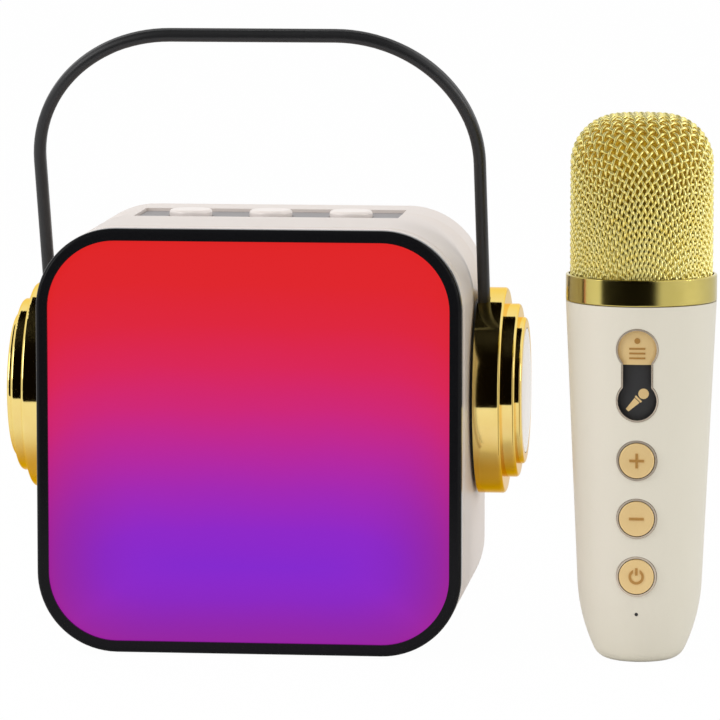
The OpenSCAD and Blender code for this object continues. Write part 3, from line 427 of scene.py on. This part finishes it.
def lit_panel():
    """The lit front: red wash from above turning to a violet glow below the middle."""
    glow_drop, glow_reach = 0.6, 1.6    # in half widths of the panel
    side_pull, squash = 0.5, 1.05       # how the sides and the foot bend the rings of colour
    edge_shade, grain_shade = 0.2, 0.04
    violet_to_red = [
        (0.0, srgb(130, 33, 206)), (0.11, srgb(140, 33, 200)), (0.235, srgb(162, 34, 179)),
        (0.36, srgb(187, 34, 151)), (0.48, srgb(207, 34, 117)), (0.605, srgb(218, 34, 84)),
        (0.73, srgb(222, 34, 56)), (0.855, srgb(224, 34, 36)), (1.0, srgb(225, 34, 28))]
    unlit = (0, 0, 0, 1)

    finish = Finish("lit_panel", (0.012, 0.004, 0.01, 1), roughness=0.3, Emission_Strength=1.0,
                    Specular_IOR_Level=0.1)
    low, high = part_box("front_diffuser")
    x, _, z = finish.axes()
    centre = (low + high) / 2 / MM
    half = (high.x - low.x) / 2 / MM
    glow_z = centre.z - glow_drop * half
    side = abs(x - centre.x) / half
    above = (z - glow_z) / half
    below = (glow_z - z) / half
    from_glow = hypotenuse(side ** 3 * side_pull, above.larger(below * squash)) / glow_reach
    diffusion = finish.noise(16.0) * 0.02 - 0.01
    wash = finish.node("ShaderNodeValToRGB", {"stops": violet_to_red}, {0: from_glow + diffusion})
    foot = below.between(0.02, 0.4)
    flank = side.between(0.5, 1.0) * (1 - above.between(-0.1, 0.9))
    dimmed = finish.mix(foot.larger(flank) * edge_shade, wash, unlit)
    grain = finish.noise(0.5)
    finish.put(finish.shader.inputs["Emission Color"],
               finish.mix(grain * grain_shade, dimmed, unlit))
    finish.roughness(grain, 0.26, 0.36)
    return finish.relief(grain, 0.004)


# ---------------------------------------------------------------- finishes of the microphone


def cream_shell():
    return moulded("cream_satin", srgb(219, 213, 196), srgb(226, 220, 203), grain=0.4,
                   depth=0.01, rough=(0.36, 0.48), Coat_Weight=0.12, Coat_Roughness=0.22)


def bronze_rim():
    return moulded("bronze_rim", srgb(204, 188, 166), srgb(222, 208, 190), grain=0.9,
                   depth=0.003, rough=(0.2, 0.3), metallic=0.6)


def spun_collar():
    """Satin olive gold of the collar, spun round the microphone's axis."""
    finish = Finish("collar_gold", srgb(205, 188, 106), roughness=0.24, metallic=1.0)
    _, _, z = finish.axes()
    spun = finish.noise_along(z, 0.16)
    haze = finish.noise(6.0, detail=3.0)
    finish.colour(finish.mix(haze, srgb(198, 181, 98), srgb(212, 196, 118)))
    finish.roughness(haze * 0.4 + spun * 0.6, 0.12, 0.2)
    return finish.relief(spun, 0.002)


def gold_wire():
    """Bright drawn wire of the woven head."""
    finish = Finish("gold_wire", (1.0, 0.84, 0.3, 1), roughness=0.2, metallic=0.7,
                    Coat_Weight=0.2, Coat_Roughness=0.06)
    tarnish = finish.noise(3.0, detail=3.0)
    fine = finish.noise(0.4)
    finish.colour(finish.mix(tarnish, (1.0, 0.81, 0.17, 1), (1.0, 0.94, 0.44, 1)))
    finish.roughness(tarnish * 0.5 + fine * 0.5, 0.1, 0.2)
    return finish.relief(fine, 0.002)


def button_gold(name, node):
    """Satin pale gold of the microphone's controls; the raised marks are darker."""
    button_mark_t, slider_mark_drop = 0.12, 0.9
    finish = Finish(name, srgb(235, 203, 142), roughness=0.34, metallic=0.25)
    x, y, z = finish.axes()
    fine = finish.noise(0.35, detail=3.0)
    cloud = finish.noise(4.0)
    plate = finish.mix(fine * 0.5 + cloud * 0.5, srgb(231, 197, 133), srgb(240, 210, 152))
    if node == "switch_slider":
        # its plate is curved, so a mark is what reaches almost as far out as the body's cone
        reach = hypotenuse(x - mic_x, y - mic_y)
        mark = reach - (z - mic_high.z) * CONE_SLOPE > mic_top_r - slider_mark_drop
    else:
        low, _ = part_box(node)
        mark = y < low.y / MM + button_mark_t
    darker = finish.mix(fine, srgb(168, 120, 52), srgb(196, 148, 78))
    finish.colour(finish.mix(mark, plate, darker))
    finish.roughness(fine * 0.6 + cloud * 0.4, 0.26, 0.42)
    return finish.relief(fine, 0.006)


def foam_liner():
    """Open-celled golden foam with painted shade: dark low down, bright golden towards the crown.
    """
    cells_per_metre = 1500.0
    shade_foot, shade_top = 6, 7        # millimetres in from the liner's foot and crown
    finish = Finish("golden_foam", srgb(206, 160, 48), roughness=0.95, Sheen_Weight=0.2)
    cells = finish.node("ShaderNodeTexVoronoi", {"feature": "DISTANCE_TO_EDGE"},
                        {"Vector": finish.place, "Scale": cells_per_metre})
    clumps = finish.noise(2.2, detail=4.0)
    open_cell = cells.between(0.0, 0.35)
    _, _, z = finish.axes()
    low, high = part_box("mic_foam")
    # painted shade: low down the foam is near black, as if shadowed inside the wires; towards the
    # crown it is bright golden
    crown = z.between(low.z / MM + shade_foot, high.z / MM - shade_top)
    cells_and_painted_shade = 1 - crown * 0.75 + open_cell * 0.2 + clumps * 0.2 - 0.2
    finish.colour(finish.mix(cells_and_painted_shade, srgb(255, 212, 40), srgb(28, 18, 3)))
    finish.roughness(clumps, 0.85, 1.0)
    return finish.relief(1 - open_cell * 0.7 - clumps * 0.3, 0.25)


# ---------------------------------------------------------------- making shapes


def add_object(name, data):
    """Puts a new object with a mesh, lamp or camera into the scene."""
    made = bpy.data.objects.new(name, data)
    bpy.context.scene.collection.objects.link(made)
    return made


def keep_piece(name, mesh, finish, body, replaced=()):
    """Adds a mesh as a piece of the object on its body."""
    piece = add_object(name, mesh)
    mesh.materials.append(finish.material)
    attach(piece, body)
    if replaced:
        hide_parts(*replaced)
    return piece


def smooth(mesh, angle):
    """Smooth faces, with a sharp edge wherever two meet at more than angle degrees."""
    mesh.shade_smooth()
    mesh.set_sharp_from_angle(angle=math.radians(angle))


def shape(name, points, faces, sharp=40):
    """A mesh from points in millimetres, with its normals outward."""
    mesh = bpy.data.meshes.new(name)
    mesh.from_pydata([Vector(point) * MM for point in points], [], faces)
    work = bmesh.new()
    work.from_mesh(mesh)
    bmesh.ops.recalc_face_normals(work, faces=work.faces)
    work.to_mesh(mesh)
    work.free()
    smooth(mesh, sharp)
    return mesh


def turned(profile, sides, place):
    """Points and faces of a closed profile of (radius, height) turned about an axis."""
    points, faces = [], []
    rings = len(profile)
    for radius, height in profile:
        for step in range(sides):
            angle = TAU * step / sides
            points.append(place(radius * math.cos(angle), radius * math.sin(angle), height))
    for ring in range(rings - 1):
        for step in range(sides):
            after = (step + 1) % sides
            faces.append((ring * sides + step, ring * sides + after,
                          (ring + 1) * sides + after, (ring + 1) * sides + step))
    faces.append(tuple(reversed(range(sides))))
    faces.append(tuple((rings - 1) * sides + step for step in range(sides)))
    return points, faces


def arc(centre, radius, start, end, steps):
    """Points of a round stretch, angles in degrees."""
    for step in range(steps + 1):
        angle = math.radians(start + (end - start) * step / steps)
        yield (centre[0] + radius * math.cos(angle), centre[1] + radius * math.sin(angle))


# ---------------------------------------------------------------- woven head

WIRE_GAP = 2.3          # from the middle of one wire to the next
WIRE_R = 0.42
WIRE_SIDES = 6
WIRE_SWING = 0.42       # how far a wire leaves the cloth's middle to pass over or under
STEPS_PER_CELL = 4
HOOP_STEPS = 120
CLOTH_TURN = math.radians(50)   # of the weave about the axis

# the cloth's middle: a flat crown, a round shoulder and an upright wall
wall_r = head_r - WIRE_SWING - WIRE_R
bend_r = SHOULDER_R - WIRE_SWING - WIRE_R
crown_r = wall_r - bend_r


def head_point(cloth_x, cloth_y, lift):
    """A point of flat wire cloth after it is drawn over the dome, lifted off its middle."""
    along = math.hypot(cloth_x, cloth_y)
    around = math.atan2(cloth_y, cloth_x) + CLOTH_TURN
    lean = min(max(along - crown_r, 0) / bend_r, math.pi / 2)
    radius = min(along, crown_r) + bend_r * math.sin(lean) + lift * math.sin(lean)
    drop = max(along - crown_r - bend_r * math.pi / 2, 0)
    height = head_high.z - SHOULDER_R + bend_r * math.cos(lean) - drop + lift * math.cos(lean)
    return Vector((mic_x + radius * math.cos(around), mic_y + radius * math.sin(around), height))


def add_wire(points, faces, path, closed=False):
    """Adds a wire along a path to the head's points and faces."""
    head_foot = Vector((mic_x, mic_y, head_low.z))
    start, count = len(points), len(path)
    for index, place in enumerate(path):
        before = path[index - 1] if index or closed else place
        after = path[(index + 1) % count] if index < count - 1 or closed else place
        ahead = (after - before).normalized()
        side = ahead.cross(place - head_foot).normalized()
        out = side.cross(ahead)
        for step in range(WIRE_SIDES):
            angle = TAU * step / WIRE_SIDES
            points.append(place + WIRE_R * (side * math.cos(angle) + out * math.sin(angle)))
    for index in range(count if closed else count - 1):
        here, there = start + index * WIRE_SIDES, start + (index + 1) % count * WIRE_SIDES
        for step in range(WIRE_SIDES):
            after = (step + 1) % WIRE_SIDES
            faces.append((here + step, here + after, there + after, there + step))
    if not closed:
        faces.append(tuple(reversed(range(start, start + WIRE_SIDES))))
        faces.append(tuple(range(start + (count - 1) * WIRE_SIDES, start + count * WIRE_SIDES)))


def woven_head():
    """Plain-weave wire cloth drawn over the dome, its ends in a rolled hoop."""
    wall_l = head_high.z - SHOULDER_R - head_low.z - 2 * WIRE_R
    cloth_r = crown_r + bend_r * math.pi / 2 + wall_l
    points, faces = [], []
    reach = int(cloth_r / WIRE_GAP - 0.5)
    for number in range(-reach, reach + 1):
        aside = (number + 0.5) * WIRE_GAP
        half = math.sqrt(cloth_r * cloth_r - aside * aside)
        steps = max(2, int(2 * half / WIRE_GAP * STEPS_PER_CELL))
        warp, weft = [], []
        for step in range(steps + 1):
            along = -half + 2 * half * step / steps
            swing = WIRE_SWING * math.cos(math.pi * (along / WIRE_GAP - 0.5 + number))
            warp.append(head_point(aside, along, swing))
            weft.append(head_point(along, aside, -swing))
        add_wire(points, faces, warp)
        add_wire(points, faces, weft)
    hoop_z = head_low.z + WIRE_R
    hoop = [Vector((*place, hoop_z)) for place in arc((mic_x, mic_y), wall_r, 0, 360, HOOP_STEPS)]
    add_wire(points, faces, hoop[:-1], closed=True)
    mesh = shape("woven_head", points, faces, sharp=180)
    return keep_piece("woven_head", mesh, gold_wire(), "microphone", ["mic_grille"])


def head_liner():
    """Foam liner that fills the woven head, hollow over the capsule."""
    swell = 0.35            # what the foam adds to its CAD form, to reach the finer wires
    foot_bevel = 0.6
    hollow_r, hollow_h = 8.5, 8.3
    shoulder_drop = 1.9     # the liner's shoulder is rounded by this much less than the head's
    lump_h, lump_core_r, flat_h = 0.16, 4, 1
    low, high = in_mm(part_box("mic_foam"))
    fill_r = (high.x - low.x) / 2 + swell
    round_r = SHOULDER_R - shoulder_drop
    flat_r = fill_r - round_r
    foot_z, top_z = low.z + foot_bevel, high.z + swell
    rows, arc_rows, sides = 22, 14, 72
    straight = top_z - round_r - foot_z
    profile = [(AXIS_HOLE_R, low.z + hollow_h), (hollow_r, low.z + hollow_h), (hollow_r, low.z),
               (fill_r - foot_bevel, low.z), (fill_r, foot_z)]
    profile += [(fill_r, foot_z + straight * row / rows) for row in range(1, rows)]
    profile += list(arc((flat_r, top_z - round_r), round_r, 0, 90, arc_rows))
    profile += [(flat_r * share, top_z) for share in (0.7, 0.4, 0.15, 0.002)]

    def place(x, y, z):
        """Adds the foam's soft lumps, away from its flat foot."""
        lump = lump_h * math.sin(0.9 * x + 1.3 * z) * math.sin(1.1 * y - 0.7 * z)
        outward = 1 + lump / max(math.hypot(x, y), lump_core_r) if z > low.z + flat_h else 1
        return (mic_x + x * outward, mic_y + y * outward, z)

    mesh = shape("head_liner", *turned(profile, sides, place))
    piece = keep_piece("head_liner", mesh, foam_liner(), "microphone", ["mic_foam"])
    return piece


# ---------------------------------------------------------------- mark on the switch track


def on_track(across, z, out):
    """A point a distance out from the microphone's front skin."""
    radius = mic_top_r - (mic_high.z - z) * CONE_SLOPE + out
    return (mic_x + across, mic_y - math.sqrt(radius * radius - across * across), z)


def singing_mark():
    """A small gold microphone drawn on the track behind the lower lobe."""
    track_depth, sunk, proud = 1.8, 0.1, 0.12
    ball, ball_r, tail = Vector((1.7, 75.5)), 1.45, Vector((-3.1, 70.6))
    lean = math.atan2(ball.y - tail.y, ball.x - tail.x)
    along = Vector((math.cos(lean), math.sin(lean)))
    side = Vector((-along.y, along.x))
    gold = button_gold("mark_gold", "switch_slider")

    def raise_outline(name, outline):
        """A thin raised shape on the track: outline points are (across, height)."""
        count = len(outline)
        points = [on_track(across, z, -track_depth - sunk) for across, z in outline]
        points += [on_track(across, z, -track_depth + proud) for across, z in outline]
        faces = [tuple(range(count)), tuple(reversed(range(count, 2 * count)))]
        faces += [(i, (i + 1) % count, count + (i + 1) % count, count + i) for i in range(count)]
        keep_piece(name, shape(name, points, faces, sharp=30), gold, "microphone")

    def strip(name, start, end, half_start, half_end):
        """A tapered bar along the mark's lean, measured from the middle of its ball."""
        first, last = ball + along * start, ball + along * end
        raise_outline(name, [first + side * half_start, last + side * half_end,
                             last - side * half_end, first - side * half_start])

    raise_outline("mark_ball", list(arc(ball, ball_r, 0, 337.5, 15)))
    strip("mark_collar", start=-2.3, end=-1.75, half_start=1.15, half_end=1.15)
    strip("mark_grip", start=-6.4, end=-2.5, half_start=0.5, half_end=0.95)


# ---------------------------------------------------------------- screws of the rear cover


def cross_recess(work, centre, depth, span, width):
    """Cuts a cross out of a screw head by a boolean with two crossed bars."""
    cutter_mesh = bpy.data.meshes.new("cross_cutter")
    bars = bmesh.new()
    for turn in (0, math.pi / 2):
        bmesh.ops.create_cube(bars, size=1, matrix=Matrix.Translation(centre * MM)
                              @ Matrix.Rotation(turn, 4, "Y")
                              @ Matrix.Diagonal((span * MM, 2 * depth * MM, width * MM, 1)))
    bars.to_mesh(cutter_mesh)
    bars.free()
    cutter = add_object("cross_cutter", cutter_mesh)
    cut = work.modifiers.new("cross", "BOOLEAN")
    cut.operation, cut.solver, cut.use_self, cut.object = "DIFFERENCE", "EXACT", True, cutter
    evaluated = work.evaluated_get(bpy.context.evaluated_depsgraph_get())
    mesh = bpy.data.meshes.new_from_object(evaluated)
    work.modifiers.clear()
    bpy.data.objects.remove(cutter)
    work.data = mesh


def rear_screws():
    """Countersunk cross-head screws of the rear cover."""
    screw_l, point_l, point_r, shaft_r = 8.0, 0.8, 0.5, 1.0
    screw_r, screw_t = 2.2, 0.9     # of the countersunk head
    neck_l, foot_bevel, rim_bevel, dome_r, dome_h = 0.3, 0.1, 0.3, 1.32, 0.05
    cross_depth, cross_span, cross_w, lit_depth = 0.65, 2.8, 0.75, 0.2
    sides, sharp = 32, 35
    low, high = in_mm(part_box("rear_screws"))
    face = high.y
    profile = [(AXIS_HOLE_R, face - screw_l), (point_r, face - screw_l),
               (shaft_r, face - screw_l + point_l), (shaft_r, face - screw_t - neck_l),
               (screw_r - foot_bevel, face - screw_t),
               (screw_r, face - screw_t + 1.5 * foot_bevel), (screw_r, face - rim_bevel),
               (screw_r - rim_bevel, face - dome_h), (dome_r, face), (AXIS_HOLE_R, face)]
    steel = plain_steel("screw_steel", shadow_y=face - lit_depth)
    corners = [(x, z) for x in (low.x + screw_r, high.x - screw_r)
               for z in (low.z + screw_r, high.z - screw_r)]
    for number, (x, z) in enumerate(corners, 1):
        name = f"rear_screw_{number}"
        mesh = shape(name, *turned(profile, sides, lambda a, b, h: (x + a, h, z + b)), sharp)
        piece = keep_piece(name, mesh, steel, "speaker",
                           ["rear_screws"] if number == 1 else [])
        cross_recess(piece, Vector((x, face, z)), cross_depth, cross_span, cross_w)
        smooth(piece.data, sharp)


# ---------------------------------------------------------------- dressing the frame

FINISHES = {
    "light_panel": lit_panel, "bezel": black_bezel, "shell": champagne_shell,
    "white_plastic": white_plastic, "white_board": chip_board, "strip": grey_strip,
    "circuit_board": circuit_board, "rubber": rubber_pad, "grille_black": painted_grille,
    "steel": plain_steel, "cone": paper_cone, "black_plastic": black_plastic,
    "cell_wrap": cell_sleeve, "handle_black": black_handle, "gold": plated_gold,
    "cap": cream_cap, "mic_shell": cream_shell, "rim": bronze_rim, "liner": foam_liner,
    "gold_metal": spun_collar, "gold_wire": gold_wire,
}
OWN_FINISHES = {
    "button_left": spun_button, "button_middle": spun_button, "button_right": spun_button,
    "mic_plus": button_gold, "mic_minus": button_gold, "mic_power": button_gold,
    "switch_slider": button_gold,
}


def dress_frame():
    """Gives every node of the frame its finish: its own one, or its material slot's."""
    made = {}
    for part in frame["record"]["subparts"]:
        node, slot = part["node"], part["material_slot"]
        if node in OWN_FINISHES:
            finish = OWN_FINISHES[node](f"{node}_finish", node)
        else:
            if slot not in made:
                made[slot] = FINISHES[slot]()
            finish = made[slot]
        mesh = frame["nodes"][node].data
        mesh.materials.clear()
        mesh.materials.append(finish.material)


# ---------------------------------------------------------------- studio, in metres

WHITE = (1, 1, 1, 1)
PAPER = (0.88, 0.88, 0.88, 1)
FLOOR_HALF = 14.0
FLOOR_SEEN = 0.985      # how white the camera sees the floor, whatever shadow falls on it
FLOOR_MIRRORED = 0.15   # the same for mirrors, which show more of the shadow
SKY_LIGHT = 0.72

# the dark card spans these places along x and fades out over FLAG_FADE at both sides
FLAG_LEFT, FLAG_RIGHT, FLAG_FADE = -0.30, 0.20, 0.09


def white_floor():
    half = FLOOR_HALF
    mesh = bpy.data.meshes.new("floor")
    mesh.from_pydata([(-half, -half, 0), (half, -half, 0), (half, half, 0), (-half, half, 0)],
                     [], [(0, 1, 2, 3)])
    floor = add_object("floor", mesh)
    material = bpy.data.materials.new("floor_paper")
    shading = Shading(material)
    camera, mirror = shading.seen_as()
    paper = shading.node("ShaderNodeBsdfDiffuse", {}, {"Color": PAPER})
    white = shading.node("ShaderNodeEmission", {}, {"Strength": 1.0})
    shading.show_mixed(camera * FLOOR_SEEN + mirror * FLOOR_MIRRORED, paper, white)
    mesh.materials.append(material)


def white_sky():
    world = bpy.data.worlds.new("studio")
    bpy.context.scene.world = world
    shading = Shading(world)
    camera, mirror = shading.seen_as()
    fill = shading.node("ShaderNodeBackground", {}, {"Color": WHITE, "Strength": SKY_LIGHT})
    seen = shading.node("ShaderNodeBackground", {}, {"Color": WHITE, "Strength": 1.0})
    shading.show_mixed(camera.larger(mirror), fill, seen, output="ShaderNodeOutputWorld")


def softbox(name, place, aim, width, height, power):
    lamp = bpy.data.lights.new(name, "AREA")
    lamp.shape = "RECTANGLE"
    lamp.size, lamp.size_y, lamp.energy = width, height, power
    holder = add_object(name, lamp)
    holder.location = place
    holder.rotation_euler = (Vector(aim) - Vector(place)).to_track_quat("-Z", "Y").to_euler()


def flag_black():
    """Black card seen by itself, which fades to clear towards its left and right edges."""
    material = bpy.data.materials.new("flag_black")
    shading = Shading(material)
    place = shading.node("ShaderNodeTexCoord", {}, {}, out="Object")
    x, = shading.node("ShaderNodeSeparateXYZ", {}, {0: place}, out=("X",))
    left_cover = x.between(FLAG_LEFT - FLAG_FADE, FLAG_LEFT)
    right_cover = 1 - x.between(FLAG_RIGHT, FLAG_RIGHT + FLAG_FADE)
    clear = shading.node("ShaderNodeBsdfTransparent", {}, {})
    black = shading.node("ShaderNodeEmission", {}, {"Color": (0.003, 0.002, 0.001, 1)})
    shading.show_mixed(left_cover.smaller(right_cover), clear, black)
    return material


def dark_flag():
    """A curved black card in front of and above the object that only mirrors see."""
    front, bend, top, foot = -0.30, 0.36, 0.5, 0.002
    turn, steps = 118, 24
    columns = [FLAG_LEFT - FLAG_FADE, FLAG_LEFT, FLAG_RIGHT, FLAG_RIGHT + FLAG_FADE]
    rows = [(front, foot)]
    rows += list(arc((front + bend, top - bend), bend, 180, 180 - turn, steps))
    points = [(x, y, z) for y, z in rows for x in columns]
    wide = len(columns)
    faces = [(r * wide + c, r * wide + c + 1, (r + 1) * wide + c + 1, (r + 1) * wide + c)
             for r in range(len(rows) - 1) for c in range(wide - 1)]
    mesh = bpy.data.meshes.new("dark_flag")
    mesh.from_pydata(points, [], faces)
    card = add_object("dark_flag", mesh)
    mesh.materials.append(flag_black())
    card.visible_camera = False
    card.visible_diffuse = False
    card.visible_shadow = False
    card.visible_transmission = False


def photo_camera():
    """The photograph's view: far back, a little right and above."""
    distance, focal, sensor = 1.5, 266.15, 36.0
    nearest, farthest = 0.05, 50.0
    yaw, pitch = math.radians(6.0), math.radians(6.7)
    aim = Vector((26.9, -6.0, 78.4)) * MM
    ahead = Vector((-math.sin(yaw) * math.cos(pitch), math.cos(yaw) * math.cos(pitch),
                    -math.sin(pitch)))
    lens = bpy.data.cameras.new("photo_camera")
    lens.lens, lens.sensor_width = focal, sensor
    lens.clip_start, lens.clip_end = nearest, farthest
    camera = add_object("photo_camera", lens)
    camera.location = aim - ahead * distance
    camera.rotation_euler = ahead.to_track_quat("-Z", "Y").to_euler()
    bpy.context.scene.camera = camera


# ---------------------------------------------------------------- making it

photo_camera()
dress_frame()
woven_head()
head_liner()
singing_mark()
rear_screws()

white_floor()
white_sky()
dark_flag()
softbox("top_box", place=(-0.15, -0.25, 1.3), aim=(0.03, 0, 0.05), width=1.0, height=0.8,
        power=3.6)
softbox("left_box", place=(-1.2, -0.9, 0.8), aim=(0, 0, 0.07), width=0.8, height=1.0, power=7.6)
softbox("right_box", place=(1.3, -0.15, 0.42), aim=(0.07, 0, 0.08), width=0.5, height=0.35,
        power=2.7)
bpy.context.scene.view_settings.view_transform = "Standard"
